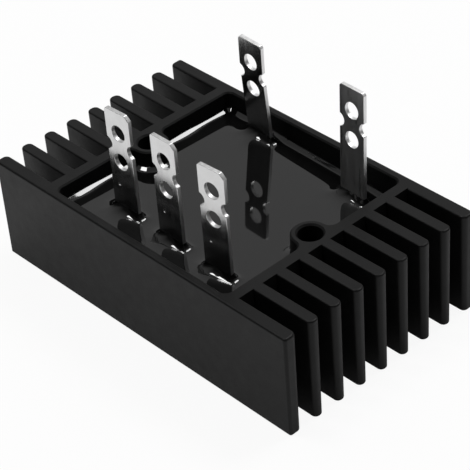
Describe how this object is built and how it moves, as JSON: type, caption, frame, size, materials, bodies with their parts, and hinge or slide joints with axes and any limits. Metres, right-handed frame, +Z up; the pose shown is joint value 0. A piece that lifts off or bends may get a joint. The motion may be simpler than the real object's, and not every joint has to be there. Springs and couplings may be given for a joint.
{
  "type": "bridge rectifier",
  "caption": "Potted three-phase bridge rectifier in a finned black die-cast heat sink, with upright blade terminals and two through mounting bosses.",
  "frame": {"origin": "middle of the underside, on the plane of the lower fin edges", "axes": "+X along the fins (the long side), +Y from the plate beside the three AC terminals to the plate beside the two DC terminals, +Z up, the way the terminals stand"},
  "size_m": [0.0792, 0.048, 0.0408],
  "materials": {
    "black_casting": "satin black coat on die-cast aluminium",
    "potting": "glossy cast surface",
    "ceramic": "fired white alumina",
    "copper": "bare copper",
    "silicon": "metallised die",
    "tinned_blade": "bright tin plate on brass"
  },
  "bodies": {
    "root": {"heat_sink": "black_casting", "potting_compound": "potting", "ceramic_plate": "ceramic", "ac_pad_1": "copper", "ac_pad_2": "copper", "ac_pad_3": "copper", "plus_pad": "copper", "minus_pad": "copper", "diode_chip_1": "silicon", "diode_chip_2": "silicon", "diode_chip_3": "silicon", "diode_chip_4": "silicon", "diode_chip_5": "silicon", "diode_chip_6": "silicon", "ac_link_1": "copper", "ac_link_2": "copper", "ac_link_3": "copper", "minus_busbar": "copper", "ac_terminal_1": "tinned_blade", "ac_terminal_2": "tinned_blade", "ac_terminal_3": "tinned_blade", "plus_terminal": "tinned_blade", "minus_terminal": "tinned_blade"}
  },
  "joints": []
}
